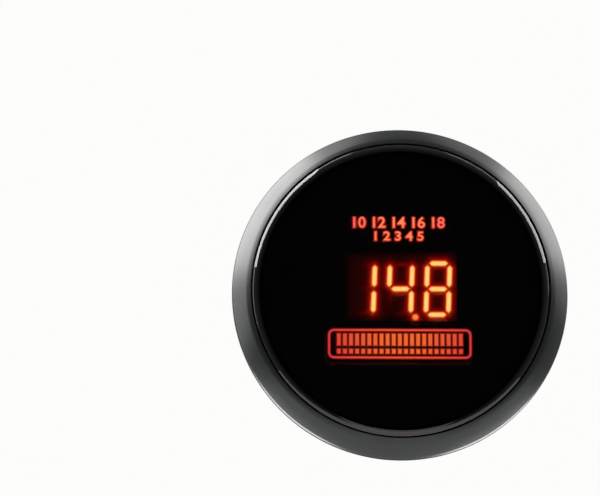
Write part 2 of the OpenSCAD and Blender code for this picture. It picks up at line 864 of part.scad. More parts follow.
module thumb_nut() {
    chamfer = 0.5;
    groove_d = 0.8;
    r = nut_d / 2;
    collar = nut_collar_d / 2;
    head_h = nut_front_h - nut_collar_h;
    bore = stud_d / 2 + fit_gap;
    color([0.72, 0.6, 0.35]) facing() difference() {
        rotate_extrude() polygon([
            [bore, nut_back_h], [r - chamfer, nut_back_h], [r, nut_back_h + chamfer],
            [r, head_h - chamfer], [r - chamfer, head_h], [collar, head_h],
            [collar, nut_front_h], [bore, nut_front_h]]);
        for (i = [0 : nut_grooves - 1]) rotate(360 / nut_grooves * i) translate([r, 0, 0])
            disc(groove_d / 2, nut_back_h - over, head_h + over / 4);
    }
}

module left_thumb_nut() {
    translate([-stud_span / 2, 0, 0]) thumb_nut();
}

module right_thumb_nut() {
    translate([stud_span / 2, 0, 0]) thumb_nut();
}

bezel();
lens();
lens_gasket();
dial_plate();
upper_window_film();
lower_window_film();
light_box();
display_body();
lit_bars();
unlit_bars();
display_pins();
scale_lamps();
display_board();
controller_chip();
driver_chip();
chip_leads();
board_resistors();
board_capacitors();
clock_crystal();
board_spacers();
spacer_screws();
power_board();
voltage_regulator();
filter_capacitor();
power_inductor();
protection_diode();
link_socket();
link_header();
link_pins();
connector_shroud();
connector_pins();
housing();
rear_cover();
cover_screws();
left_stud();
right_stud();
clamp_bracket();
plain_washers();
spring_washers();
left_thumb_nut();
right_thumb_nut();
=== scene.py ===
import math

import bmesh
import bpy
from mathutils import Matrix, Vector


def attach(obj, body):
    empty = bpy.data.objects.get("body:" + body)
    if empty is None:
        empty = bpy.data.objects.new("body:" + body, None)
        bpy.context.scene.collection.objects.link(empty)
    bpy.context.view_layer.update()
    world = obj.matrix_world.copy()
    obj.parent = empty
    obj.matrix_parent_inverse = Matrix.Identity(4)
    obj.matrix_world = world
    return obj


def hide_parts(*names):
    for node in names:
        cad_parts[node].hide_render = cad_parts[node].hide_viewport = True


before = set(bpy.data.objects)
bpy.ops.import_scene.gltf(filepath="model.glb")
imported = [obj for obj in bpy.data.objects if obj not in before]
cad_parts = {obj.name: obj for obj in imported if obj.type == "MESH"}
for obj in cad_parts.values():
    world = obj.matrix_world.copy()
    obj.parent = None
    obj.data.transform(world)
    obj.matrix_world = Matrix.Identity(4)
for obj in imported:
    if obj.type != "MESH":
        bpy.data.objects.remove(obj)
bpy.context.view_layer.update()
MM = 0.001

# Camera. It looks up at the dial from half a metre away, a little from the left, through a long lens.
# It aims past the gauge on the upper left, which sets the gauge to the right and below the middle.
camera_distance = 500 * MM
camera_azimuth = math.radians(-3.3)
camera_elevation = math.radians(-11)
focal_length = 167.5
aim_left = 17.77 * MM
aim_above = 8.42 * MM

towards_gauge = Vector((
    -math.sin(camera_azimuth) * math.cos(camera_elevation),
    math.cos(camera_azimuth) * math.cos(camera_elevation),
    -math.sin(camera_elevation),
))
camera_right = towards_gauge.cross(Vector((0, 0, 1))).normalized()
camera_up = camera_right.cross(towards_gauge)
camera = bpy.data.objects.new("camera", bpy.data.cameras.new("camera"))
camera.data.lens = focal_length
camera.location = -towards_gauge * camera_distance
aim = camera_up * aim_above - camera_right * aim_left
camera.rotation_euler = (aim - camera.location).to_track_quat("-Z", "Y").to_euler()
bpy.context.scene.collection.objects.link(camera)
bpy.context.scene.camera = camera
bpy.context.scene.view_settings.view_transform = "Standard"


# Studio floor and backdrop. A plain pale floor lies well below the camera, and a pale dome closes the room.
# The dome shows to the camera only and the floor hides from shiny pieces, so that the glossy lens and the
# bezel mirror the dim room in front of them.
def make_material(name, colour, roughness, metallic=0.0):
    material = bpy.data.materials.new(name)
    material.use_nodes = True
    shader = material.node_tree.nodes["Principled BSDF"]
    shader.inputs["Base Color"].default_value = (*colour, 1)
    shader.inputs["Roughness"].default_value = roughness
    shader.inputs["Metallic"].default_value = metallic
    return material


def grey(level):
    return (level, level, level)


def add_node(material, kind, **values):
    """A shader node. Each value sets an input socket, or a property where no socket has that name."""
    new = material.node_tree.nodes.new(kind)
    for name, value in values.items():
        socket = name.replace("_", " ").title()
        if socket in new.inputs:
            new.inputs[socket].default_value = value
        else:
            setattr(new, name, value)
    return new


def join(material, output, socket):
    material.node_tree.links.new(output, socket)


def shader_of(material):
    return material.node_tree.nodes["Principled BSDF"]


def place_in_space(material, stretch=(1, 1, 1)):
    """The object's own coordinates, times a stretch for each axis."""
    place = add_node(material, "ShaderNodeTexCoord")
    mapping = add_node(material, "ShaderNodeMapping", scale=stretch)
    join(material, place.outputs["Object"], mapping.inputs["Vector"])
    return mapping.outputs["Vector"]


def noise(material, size, detail=3.0, stretch=(1, 1, 1)):
    """Noise with features about size metres wide, fixed to the object's own space."""
    cloud = add_node(material, "ShaderNodeTexNoise", scale=1 / size, detail=detail)
    join(material, place_in_space(material, stretch), cloud.inputs["Vector"])
    return cloud.outputs["Fac"]


def ramp(material, factor, *stops):
    """A colour ramp. Each stop is a position and a linear colour."""
    made = add_node(material, "ShaderNodeValToRGB")
    elements = made.color_ramp.elements
    while len(elements) < len(stops):
        elements.new(0.5)
    for element, (position, colour) in zip(elements, stops):
        element.position = position
        element.color = (*colour, 1)
    join(material, factor, made.inputs["Fac"])
    return made.outputs["Color"]


def tint(material, factor, dark, light):
    """Base colour that goes from dark to light with the factor."""
    join(material, ramp(material, factor, (0.3, dark), (0.7, light)),
         shader_of(material).inputs["Base Color"])


def vary_roughness(material, factor, low, high):
    """Roughness that goes from low to high with the factor."""
    spread = add_node(material, "ShaderNodeMapRange", to_min=low, to_max=high)
    join(material, factor, spread.inputs["Value"])
    join(material, spread.outputs["Result"], shader_of(material).inputs["Roughness"])


def add_bump(material, factor, height):
    """Bump whose full swing is height metres, over any bump that is there already."""
    bump = add_node(material, "ShaderNodeBump", distance=height)
    join(material, factor, bump.inputs["Height"])
    last = shader_of(material).inputs["Normal"]
    if last.is_linked:
        join(material, last.links[0].from_socket, bump.inputs["Normal"])
    join(material, bump.outputs["Normal"], last)


def add_mesh(name, points, faces, crease=35):
    """A new object from points in metres, smooth but for edges sharper than the crease."""
    mesh = bpy.data.meshes.new(name)
    mesh.from_pydata(points, [], faces)
    piece = bpy.data.objects.new(name, mesh)
    bpy.context.scene.collection.objects.link(piece)
    finish_mesh(mesh, crease)
    return piece


def finish_mesh(mesh, crease=35):
    """Turns all faces outwards and smooths the edges, but for those sharper than the crease."""
    work = bmesh.new()
    work.from_mesh(mesh)
    bmesh.ops.recalc_face_normals(work, faces=work.faces)
    work.to_mesh(mesh)
    work.free()
    mesh.shade_smooth()
    mesh.set_sharp_from_angle(angle=math.radians(crease))


floor_z = -0.6
floor_half = 3.0
dome_radius = 4.0
floor_paper = make_material("floor_paper", (0.82, 0.82, 0.81), 0.7)
shader_of(floor_paper).inputs["Emission Color"].default_value = (1, 1, 1, 1)
shader_of(floor_paper).inputs["Emission Strength"].default_value = 0.3
add_bump(floor_paper, noise(floor_paper, 4 * MM), 0.2 * MM)
floor = add_mesh("floor", [(x * floor_half, y * floor_half, floor_z)
                           for x, y in ((-1, -1), (1, -1), (1, 1), (-1, 1))], [(0, 1, 2, 3)])
floor.data.materials.append(floor_paper)
floor.visible_glossy = False

bpy.ops.mesh.primitive_uv_sphere_add(segments=48, ring_count=24, radius=dome_radius)
dome = bpy.context.object
dome.name = "backdrop"
dome_white = make_material("dome_white", grey(0), 1.0)
shader_of(dome_white).inputs["Emission Color"].default_value = (0.98, 0.975, 0.96, 1)
shader_of(dome_white).inputs["Emission Strength"].default_value = 1.0
dome.data.materials.append(dome_white)
dome.visible_diffuse = dome.visible_glossy = dome.visible_transmission = False
dome.visible_shadow = False


# Studio light. Soft boxes stand round the gauge, level with it or behind it, and a small weak one stands in
# front below. The bezel shows their glow and the flat lens shows none. The room is dark right in front and
# straight behind, and grey between.
def dial_direction(around, off_axis):
    """Direction at an angle round the dial, counted from its right, and at an angle off the dial's axis."""
    around, off_axis = math.radians(around), math.radians(off_axis)
    return Vector((math.sin(off_axis) * math.cos(around), -math.cos(off_axis),
                   math.sin(off_axis) * math.sin(around)))


def soft_box(name, around, off_axis, width, height, radiance, distance=0.9):
    """A soft box that faces the gauge, with its width along the dial's rim."""
    lamp = bpy.data.lights.new(name, "AREA")
    lamp.shape = "RECTANGLE"
    lamp.size = width
    lamp.size_y = height
    lamp.energy = radiance * math.pi * width * height
    lamp.color = box_colour
    box = bpy.data.objects.new(name, lamp)
    out = dial_direction(around, off_axis)
    across = dial_direction(around + 90, 90)
    turned = Matrix((across, out.cross(across), out)).transposed().to_4x4()
    turned.translation = out * distance
    box.matrix_world = turned
    box.visible_camera = False
    bpy.context.scene.collection.objects.link(box)


box_colour = (1.0, 0.93, 0.92)
soft_box("light_upper_left", around=138, off_axis=98, width=0.76, height=1.2, radiance=3.5)
soft_box("wash_upper_left", around=145, off_axis=105, width=1.9, height=1.0, radiance=0.9, distance=1.0)
soft_box("light_upper_right", around=37, off_axis=98, width=0.54, height=1.2, radiance=2.3)
soft_box("wash_upper_right", around=40, off_axis=105, width=1.3, height=1.0, radiance=0.4, distance=1.0)
soft_box("wash_below", around=270, off_axis=90, width=3.6, height=1.8, radiance=0.36)
soft_box("wash_front_below", around=272, off_axis=38, width=0.55, height=0.36, radiance=0.3)
soft_box("light_lower_left", around=224, off_axis=128, width=0.5, height=0.45, radiance=6.0)
soft_box("light_lower_right", around=312, off_axis=128, width=0.5, height=0.45, radiance=6.0)

room = bpy.data.worlds.new("room")
room.use_nodes = True
bpy.context.scene.world = room
place = add_node(room, "ShaderNodeTexCoord")
parts = add_node(room, "ShaderNodeSeparateXYZ")
depth = add_node(room, "ShaderNodeMapRange", from_min=-1, from_max=1)
join(room, place.outputs["Generated"], parts.inputs["Vector"])
join(room, parts.outputs["Y"], depth.inputs["Value"])
join(room, ramp(room, depth.outputs["Result"],
                (0.03, grey(0.002)), (0.07, grey(0.03)), (0.45, grey(0.12)), (0.7, (0.22, 0.23, 0.23)),
                (0.85, grey(0.2)), (0.95, (0.22, 0.22, 0.21)), (0.985, grey(0.03))),
     room.node_tree.nodes["Background"].inputs["Color"])


# Housing. A deep black cup moulded in glass-filled nylon, with ribs inside for the display board and four
# bosses for the cover screws. A fine spark-eroded texture comes off the mould.
weld_reach = 1e-7
flat_angle = math.radians(0.5)
sharp_angle = math.radians(30)


def eased(name, node, edge):
    """A piece with the shape of a plain part, its sharp edges rounded off over a width in metres."""
    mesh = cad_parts[node].data.copy()
    mesh.name = name
    work = bmesh.new()
    work.from_mesh(mesh)
    bmesh.ops.remove_doubles(work, verts=work.verts, dist=weld_reach)
    bmesh.ops.dissolve_limit(work, angle_limit=flat_angle, verts=work.verts, edges=work.edges)
    corners = [e for e in work.edges if len(e.link_faces) == 2 and e.calc_face_angle(0) > sharp_angle]
    bmesh.ops.bevel(work, geom=corners, offset=edge, segments=2, profile=0.5, affect="EDGES",
                    clamp_overlap=True)
    work.to_mesh(mesh)
    work.free()
    finish_mesh(mesh)
    piece = bpy.data.objects.new(name, mesh)
    bpy.context.scene.collection.objects.link(piece)
    return piece


def fit(piece, material, slot, *nodes, body="gauge"):
    """Gives a piece its material, sets it on its body and puts it in place of plain solids."""
    piece.data.materials.clear()
    piece.data.materials.append(material)
    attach(piece, body)
    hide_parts(*nodes)


def moulded_black(name, shade, roughness, grain):
    """Black moulded plastic with a fine eroded texture, grain metres wide."""
    roughness_spread = 0.06
    relief = grain * 0.06
    material = make_material(name, grey(shade), roughness)
    cloud = noise(material, 4 * MM)
    tint(material, cloud, grey(shade * 0.8), grey(shade * 1.25))
    vary_roughness(material, cloud, roughness - roughness_spread, roughness + roughness_spread)
    add_bump(material, noise(material, grain, 2), relief)
    return material


nylon_black = moulded_black("nylon_black", 0.022, 0.5, 0.25 * MM)
fit(eased("housing_cup", "housing", 0.12 * MM), nylon_black, "housing_black", "housing")


# Power board. A round green board with the supply parts on its front and one diode on its back. Six pins
# in a header carry power on to the display board.
def dress(node, material):
    """Gives a plain part its material and leaves its shape alone."""
    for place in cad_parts[node].material_slots:
        place.material = material


def board_laminate(name):
    """Green solder mask over copper tracks that show as paler green lines."""
    cell_width = 2.2 * MM
    material = make_material(name, (0.01, 0.12, 0.05), 0.35)
    cells = add_node(material, "ShaderNodeTexVoronoi", feature="DISTANCE_TO_EDGE", scale=1 / cell_width)
    join(material, place_in_space(material, (1, 0.001, 1)), cells.inputs["Vector"])
    track = ramp(material, cells.outputs["Distance"], (0.06, (0.02, 0.24, 0.09)), (0.1, (0.008, 0.1, 0.04)))
    join(material, track, shader_of(material).inputs["Base Color"])
    shader_of(material).inputs["Coat Weight"].default_value = 0.4
    add_bump(material, noise(material, 0.8 * MM), 0.01 * MM)
    return material


def tinned(name, colour):
    """Bright tinned metal, a little clouded."""
    material = make_material(name, colour, 0.3, 1.0)
    vary_roughness(material, noise(material, 0.4 * MM), 0.22, 0.42)
    add_bump(material, noise(material, 0.15 * MM), 0.004 * MM)
    return material


def fired_ceramic(name, colour):
    """Fired ceramic body with pale specks."""
    material = make_material(name, colour, 0.55)
    tint(material, noise(material, 0.12 * MM, 4), [c * 0.8 for c in colour], [c * 1.25 for c in colour])
    vary_roughness(material, noise(material, 0.5 * MM), 0.45, 0.65)
    return material


green_laminate = board_laminate("green_laminate")
bright_tin = tinned("bright_tin", (0.78, 0.78, 0.76))
gilt_pins = tinned("gilt_pins", (0.86, 0.68, 0.36))
epoxy_black = moulded_black("epoxy_black", 0.03, 0.55, 0.08 * MM)
socket_black = moulded_black("socket_black", 0.025, 0.42, 0.12 * MM)
ferrite = fired_ceramic("ferrite", (0.06, 0.06, 0.062))
can_sleeve = make_material("can_sleeve", (0.2, 0.21, 0.25), 0.3, 0.6)
tint(can_sleeve, noise(can_sleeve, 1.5 * MM), (0.17, 0.18, 0.22), (0.26, 0.27, 0.31))
vary_roughness(can_sleeve, noise(can_sleeve, 0.5 * MM, stretch=(1, 8, 1)), 0.22, 0.4)

dress("power_board", green_laminate)
fit(eased("regulator_case", "voltage_regulator", 0.12 * MM), epoxy_black, "chip_black", "voltage_regulator")
fit(eased("capacitor_sleeve", "filter_capacitor", 0.1 * MM), can_sleeve, "capacitor_can", "filter_capacitor")
fit(eased("inductor_core", "power_inductor", 0.15 * MM), ferrite, "ferrite_grey", "power_inductor")
fit(eased("diode_case", "protection_diode", 0.06 * MM), epoxy_black, "chip_black", "protection_diode")
fit(eased("header_block", "link_header", 0.1 * MM), socket_black, "connector_black", "link_header")
fit(eased("socket_block", "link_socket", 0.1 * MM), socket_black, "connector_black", "link_socket")
fit(eased("header_pins", "link_pins", 0.05 * MM), gilt_pins, "tinned_metal", "link_pins")


# Rear connector. A black shroud with a keyway stands on the power board and looks out through the rear
# cover, round four square tinned pins.
fit(eased("plug_shroud", "connector_shroud", 0.15 * MM), socket_black, "connector_black", "connector_shroud")
fit(eased("plug_pins", "connector_pins", 0.08 * MM), bright_tin, "tinned_metal", "connector_pins")


# Board spacers. Three hexagon brass pillars hold the boards apart, each with a slotted screw from behind.
def turned_metal(name, colour, roughness, lay):
    """Machined metal with fine tool marks along its lay, which is a stretch for each axis."""
    material = make_material(name, colour, roughness, 1.0)
    marks = noise(material, 0.25 * MM, 4, lay)
    tint(material, noise(material, 1.5 * MM), [c * 0.88 for c in colour], [min(c * 1.08, 1) for c in colour])
    vary_roughness(material, marks, roughness - 0.08, roughness + 0.1)
    add_bump(material, marks, 0.004 * MM)
    return material


pillar_brass = turned_metal("pillar_brass", (0.68, 0.5, 0.24), 0.34, (1, 6, 1))
screw_zinc = turned_metal("screw_zinc", (0.6, 0.61, 0.62), 0.36, (1, 6, 1))
fit(eased("pillars", "board_spacers", 0.12 * MM), pillar_brass, "spacer_brass", "board_spacers")
fit(eased("pillar_screws", "spacer_screws", 0.1 * MM), screw_zinc, "screw_steel", "spacer_screws")


# Display board. The front board carries the display block and the lamps on its face, and the controller,
# the driver, small soldered parts and the clock crystal on its back.
resistor_glaze = fired_ceramic("resistor_glaze", (0.05, 0.05, 0.058))
capacitor_body = fired_ceramic("capacitor_body", (0.42, 0.28, 0.17))
crystal_can = turned_metal("crystal_can", grey(0.7), 0.28, (6, 1, 1))

dress("display_board", green_laminate)
dress("chip_leads", bright_tin)
fit(eased("controller_case", "controller_chip", 0.08 * MM), epoxy_black, "chip_black", "controller_chip")
fit(eased("driver_case", "driver_chip", 0.08 * MM), epoxy_black, "chip_black", "driver_chip")
fit(eased("resistor_row", "board_resistors", 0.05 * MM), resistor_glaze, "resistor_black", "board_resistors")
fit(eased("capacitor_row", "board_capacitors", 0.08 * MM), capacitor_body, "capacitor_tan",
    "board_capacitors")
fit(eased("crystal_case", "clock_crystal", 0.2 * MM), crystal_can, "tinned_metal", "clock_crystal")


# Display block. A dark red block of epoxy holds three leaning digits of seven bars each, with a point
# beside the middle one. The lit bars glow yellow in the middle and orange at their edges, inside a tight
# red halo, and the unlit bars hardly show. The halo and a dim red glow over the window, which fades out
# towards the window's edges, are painted glow on the epoxy.
window_z = 0.85
window_w = 20.0
window_h = 12.6
block_w = 21.4
block_h = 13.1
block_front = 1.88
block_back = -4.3
bar_front = 1.9
digit_drop = 0.4
digit_pitch = window_w / 3
bar_span = 3.98
bar_rise = 9.28
bar_width = 1.0
bar_gap = 0.5
bar_depth = 0.45
core_inset = 0.3
lean_slope = math.tan(math.radians(2.4))
point_out = 2.84
point_drop = 5.1
point_r = 0.58
point_core = 0.4
halo_reach = 0.6
fade_width = 1.6
grid_step = 0.16

# Share of the display's light that comes through the smoked lens
lens_clearness = 0.45

# Bars in the order top, upper right, lower right, bottom, lower left, upper left, middle, and then the point
digits_lit = ((0, 1, 1, 0, 0, 0, 0, 0), (0, 1, 1, 0, 0, 1, 1, 1), (1, 1, 1, 1, 1, 1, 1, 0))


def bar_outline(x, y, length, upright, inset=0.0):
    """Six-sided outline of a bar round its middle, in millimetres from the digit's centre."""
    half = (length - bar_gap) / 2 - inset * math.sqrt(2)
    thick = bar_width / 2 - inset
    flat = ((-half, 0), (thick - half, -thick), (half - thick, -thick), (half, 0),
            (half - thick, thick), (thick - half, thick))
    turned = [(-v, u) if upright else (u, v) for u, v in flat]
    return [(x + u + (y + v) * lean_slope, y + v) for u, v in turned]


def point_outline(inset=0.0):
    """Round outline of the point, in millimetres from the digit's centre."""
    steps = 20
    radius = point_r - inset
    return [(point_out - point_drop * lean_slope + radius * math.cos(math.tau * i / steps),
             -point_drop + radius * math.sin(math.tau * i / steps)) for i in range(steps)]


def bar_outlines(lit, inset=0.0):
    """Outlines of every bar and point that is lit, or unlit, in millimetres on the dial."""
    x, y = bar_span / 2, bar_rise / 2
    shapes = [bar_outline(0, y, bar_span, False, inset), bar_outline(x, y / 2, y, True, inset),
              bar_outline(x, -y / 2, y, True, inset), bar_outline(0, -y, bar_span, False, inset),
              bar_outline(-x, -y / 2, y, True, inset), bar_outline(-x, y / 2, y, True, inset),
              bar_outline(0, 0, bar_span, False, inset), point_outline(inset)]
    found = []
    for digit, states in enumerate(digits_lit):
        left = (digit - 1) * digit_pitch
        found += [[(left + u, window_z - digit_drop + v) for u, v in shape]
                  for shape, state in zip(shapes, states) if bool(state) == lit]
    return found


def on_dial(x, z, out):
    """A point on the dial, from millimetres right, up and out towards the driver."""
    return Vector((x * MM, -out * MM, z * MM))


def set_values(piece, name, values):
    """Stores a value for each point of a piece, which its material reads by name."""
    piece.data.attributes.new(name, "FLOAT", "POINT").data.foreach_set("value", values)


def outline_distance(x, z, outline):
    """Distance from a point to an outline, in millimetres, and 0 inside it."""
    inside, nearest = True, math.inf
    for (ax, az), (bx, bz) in zip(outline, outline[1:] + outline[:1]):
        ex, ez = bx - ax, bz - az
        dx, dz = x - ax, z - az
        along = min(1, max(0, (dx * ex + dz * ez) / (ex * ex + ez * ez)))
        nearest = min(nearest, math.hypot(dx - along * ex, dz - along * ez))
        inside = inside and ex * dz - ez * dx >= 0
    return 0.0 if inside else nearest


lit_outlines = [(o, sum(x for x, _ in o) / len(o), sum(z for _, z in o) / len(o))
                for o in bar_outlines(True)]
half_longest_bar = bar_rise / 4
farthest = half_longest_bar + halo_reach * 4


def halo_at(x, z):
    """Glow of the block at a place on the dial, from 1 beside a lit bar down to 0."""
    near = [o for o, mx, mz in lit_outlines if math.hypot(x - mx, z - mz) < farthest]
    return math.exp(-min((outline_distance(x, z, o) for o in near), default=math.inf) / halo_reach)


def painted_window_glow_at(x, z):
    """Strength of the painted dim red glow of the block, from 1 in the window down to 0 at its edge."""
    return min(1, max(0, min(window_w / 2 - abs(x), window_h / 2 - abs(z - window_z)) / fade_width))


def digit_bars(name, lit, front):
    """Bars with a flat top. The core attribute runs from 0 at the edge of a bar to 1 inside."""
    points, faces, core, halo, painted_window_glow = [], [], [], [], []
    for outer, inner in zip(bar_outlines(lit), bar_outlines(lit, core_inset)):
        first, count = len(points), len(outer)
        for outline, level, value in ((outer, front - bar_depth, 0.0), (outer, front, 0.0),
                                      (inner, front, 1.0)):
            points += [on_dial(x, z, level) for x, z in outline]
            core += [value if count == 6 else value * point_core] * count
            halo += [halo_at(x, z) for x, z in outline]
            painted_window_glow += [painted_window_glow_at(x, z) for x, z in outline]
        ring = range(count)
        for low, high in ((0, count), (count, 2 * count)):
            faces += [(first + low + i, first + low + (i + 1) % count, first + high + (i + 1) % count,
                       first + high + i) for i in ring]
        faces.append([first + 2 * count + i for i in ring])
        faces.append([first + i for i in reversed(ring)])
    piece = add_mesh(name, points, faces)
    set_values(piece, "core", core)
    set_values(piece, "halo", halo)
    set_values(piece, "painted_window_glow", painted_window_glow)
    return piece


def display_block():
    """The block as a box whose front is a fine grid that carries the painted glow round the lit bars and
    over the window.
    """
    columns, rows = int(block_w / grid_step), int(block_h / grid_step)
    points, faces, halo, painted_window_glow = [], [], [], []
    for j in range(rows + 1):
        for i in range(columns + 1):
            x = block_w * (i / columns - 0.5)
            z = block_h * (j / rows - 0.5) + window_z
            points.append(on_dial(x, z, block_front))
            halo.append(halo_at(x, z))
            painted_window_glow.append(painted_window_glow_at(x, z))
    for j in range(rows):
        for i in range(columns):
            corner = j * (columns + 1) + i
            faces.append((corner, corner + 1, corner + columns + 2, corner + columns + 1))
    rim = list(range(columns + 1))
    rim += [(j + 1) * (columns + 1) - 1 for j in range(1, rows + 1)]
    rim += [rows * (columns + 1) + i for i in range(columns - 1, -1, -1)]
    rim += [j * (columns + 1) for j in range(rows - 1, 0, -1)]
    back, count = len(points), len(rim)
    points += [Vector((points[i].x, -block_back * MM, points[i].z)) for i in rim]
    faces += [(rim[i], rim[(i + 1) % count], back + (i + 1) % count, back + i) for i in range(count)]
    faces.append([back + i for i in range(count)])
    piece = add_mesh("display_block", points, faces)
    set_values(piece, "halo", halo + [0.0] * count)
    set_values(piece, "painted_window_glow", painted_window_glow + [0.0] * count)
    return piece


def read_attribute(material, name):
    return add_node(material, "ShaderNodeAttribute", attribute_name=name).outputs["Fac"]


def set_emission(material, colour_output, strength):
    join(material, colour_output, shader_of(material).inputs["Emission Color"])
    shader_of(material).inputs["Emission Strength"].default_value = strength


def glowing_epoxy(name, shade):
    """Dark red epoxy with painted glow: a dim red glow over the window, shade times the block's, and the
    halo round the lit bars.
    """
    material = make_material(name, (0.03, 0.004, 0.004), 0.35)
    halo = ramp(material, read_attribute(material, "halo"),
                (0, grey(0)), (0.2, (0.03, 0, 0)), (0.6, (0.24, 0.001, 0)), (1, (0.7, 0.012, 0.001)))
    # Painted dim red glow over the window, fading out towards its edges
    own = ramp(material, read_attribute(material, "painted_window_glow"),
               (0, grey(0)), (1, (0.012 * shade, 0.0002, 0.0002)))
    both = add_node(material, "ShaderNodeMix", data_type="RGBA", blend_type="ADD")
    both.inputs["Factor"].default_value = 1.0
    first_colour, second_colour, sum_colour = both.inputs[6], both.inputs[7], both.outputs[2]
    join(material, halo, first_colour)
    join(material, own, second_colour)
    set_emission(material, sum_colour, 1 / lens_clearness)
    vary_roughness(material, noise(material, 0.6 * MM), 0.3, 0.45)
    return material


block_epoxy = glowing_epoxy("block_epoxy", 1.0)
unlit_epoxy = glowing_epoxy("unlit_epoxy", 1.2)
lit_glow = make_material("lit_glow", (0.4, 0.2, 0.08), 0.4)
lit_colour = ramp(lit_glow, read_attribute(lit_glow, "core"),
                  (0, (0.9, 0.06, 0.012)), (0.5, (1.2, 0.5, 0.11)), (1, (1.5, 0.95, 0.26)))
set_emission(lit_glow, lit_colour, 1 / lens_clearness)
vary_roughness(lit_glow, noise(lit_glow, 0.3 * MM), 0.3, 0.5)

fit(display_block(), block_epoxy, "display_red", "display_body")
fit(digit_bars("glowing_bars", True, bar_front), lit_glow, "lit_bar", "lit_bars")
fit(digit_bars("dark_bars", False, bar_front), unlit_epoxy, "unlit_bar", "unlit_bars")
dress("display_pins", bright_tin)


# Light box. A pale grey frame carries the dial plate, walls off the display block and opens in front of
# six small lamps, three behind each printed window.
pale_plastic = make_material("pale_plastic", (0.6, 0.6, 0.57), 0.5)
tint(pale_plastic, noise(pale_plastic, 3 * MM), (0.55, 0.55, 0.52), (0.64, 0.64, 0.61))
add_bump(pale_plastic, noise(pale_plastic, 0.2 * MM, 2), 0.01 * MM)
lamp_body = make_material("lamp_body", (0.75, 0.6, 0.2), 0.3)
tint(lamp_body, noise(lamp_body, 0.5 * MM), (0.75, 0.55, 0.15), (0.85, 0.72, 0.3))
shader_of(lamp_body).inputs["Coat Weight"].default_value = 0.5
fit(eased("light_frame", "light_box", 0.08 * MM), pale_plastic, "light_box_grey", "light_box")
fit(eased("lamps", "scale_lamps", 0.15 * MM), lamp_body, "lamp_plastic", "scale_lamps")


# Dial plate. A thin matt black disc with three windows. A clear film printed black fills the upper and the
# lower window, and its unprinted numbers, frame and bars glow where the lamps shine through.
def number_row(name, text, width, height, z, weight, rise):
    """A row of numbers as raised flat figures, set to a width and height in millimetres."""
    curve = bpy.data.curves.new(name, "FONT")
    curve.body = text
    curve.align_x = "CENTER"
    curve.offset = weight
    curve.resolution_u = 6
    curve.extrude = 0.01
    typed = bpy.data.objects.new(name, curve)
    bpy.context.scene.collection.objects.link(typed)
    bpy.context.view_layer.update()
    mesh = bpy.data.meshes.new_from_object(typed.evaluated_get(bpy.context.evaluated_depsgraph_get()))
    bpy.data.objects.remove(typed)
    low = [min(v.co[i] for v in mesh.vertices) for i in range(3)]
    high = [max(v.co[i] for v in mesh.vertices) for i in range(3)]
    for vertex in mesh.vertices:
        share = [(vertex.co[i] - low[i]) / (high[i] - low[i]) for i in range(3)]
        vertex.co = on_dial(legend_x + (share[0] - 0.5) * width, z + (share[1] - 0.5) * height,
                            print_foot + share[2] * rise)
    mesh.name = name
    piece = bpy.data.objects.new(name, mesh)
    bpy.context.scene.collection.objects.link(piece)
    finish_mesh(mesh)
    return piece


def raised_shapes(name, rise, outlines, holes=()):
    """Flat raised shapes on the film. An outline with a hole is a ring with as many points in both."""
    points, faces = [], []
    for index, outline in enumerate(outlines):
        first, count = len(points), len(outline)
        hole = holes[index] if index < len(holes) else None
        for level in (print_foot, print_foot + rise):
            points += [on_dial(x, z, level) for x, z in outline]
        ring = range(count)
        faces += [(first + i, first + (i + 1) % count, first + count + (i + 1) % count,
                   first + count + i) for i in ring]
        if hole:
            inner = len(points)
            for level in (print_foot, print_foot + rise):
                points += [on_dial(x, z, level) for x, z in hole]
            faces += [(inner + i, inner + (i + 1) % count, inner + count + (i + 1) % count,
                       inner + count + i) for i in ring]
            for level in (0, count):
                faces += [(first + level + i, first + level + (i + 1) % count,
                           inner + level + (i + 1) % count, inner + level + i) for i in ring]
        else:
            faces += [[first + i for i in ring], [first + count + i for i in ring]]
    return add_mesh(name, points, faces)


def rounded_box(width, height, radius, z):
    """A rectangle with round corners, as points in millimetres on the dial."""
    steps = 6
    found = []
    for corner, (sx, sz) in enumerate(((1, 1), (-1, 1), (-1, -1), (1, -1))):
        for i in range(steps + 1):
            turn = math.radians(90 * corner + 90 * i / steps)
            found.append((legend_x + sx * (width / 2 - radius) + radius * math.cos(turn),
                          z + sz * (height / 2 - radius) + radius * math.sin(turn)))
    return found


print_foot = 2.4
print_height = 0.03
number_weight = 0.012
halo_height = 0.015
halo_spread = 0.18
halo_weight = 0.09
legend_x = -0.2
legend_z = -9.55
frame_w = 25.3
frame_h = 5.2
frame_line = 0.28
frame_corner = 1.0
bar_columns = 21
column_pitch = 1.08
column_w = 0.62
column_h = 2.1
column_z = 0.75
tick_w = 0.62
tick_h = 0.8
tick_z = -1.35


def scale_outlines(grow=0.0):
    """Outlines of the scale's bars and of the small marks under them, grown on all sides."""
    columns = [legend_x + (i - (bar_columns - 1) / 2) * column_pitch for i in range(bar_columns)]
    corners = ((-1, -1), (1, -1), (1, 1), (-1, 1))
    return [[(x + u * (w / 2 + grow), legend_z + z + v * (h / 2 + grow)) for u, v in corners]
            for x in columns for w, h, z in ((column_w, column_h, column_z), (tick_w, tick_h, tick_z))]


def frame_outlines(grow=0.0):
    """Outer and inner outline of the frame's line, grown on both sides."""
    inner = 2 * (frame_line + grow)
    return ([rounded_box(frame_w + 2 * grow, frame_h + 2 * grow, frame_corner + grow, legend_z)],
            [rounded_box(frame_w - inner, frame_h - inner, frame_corner - frame_line - grow, legend_z)])


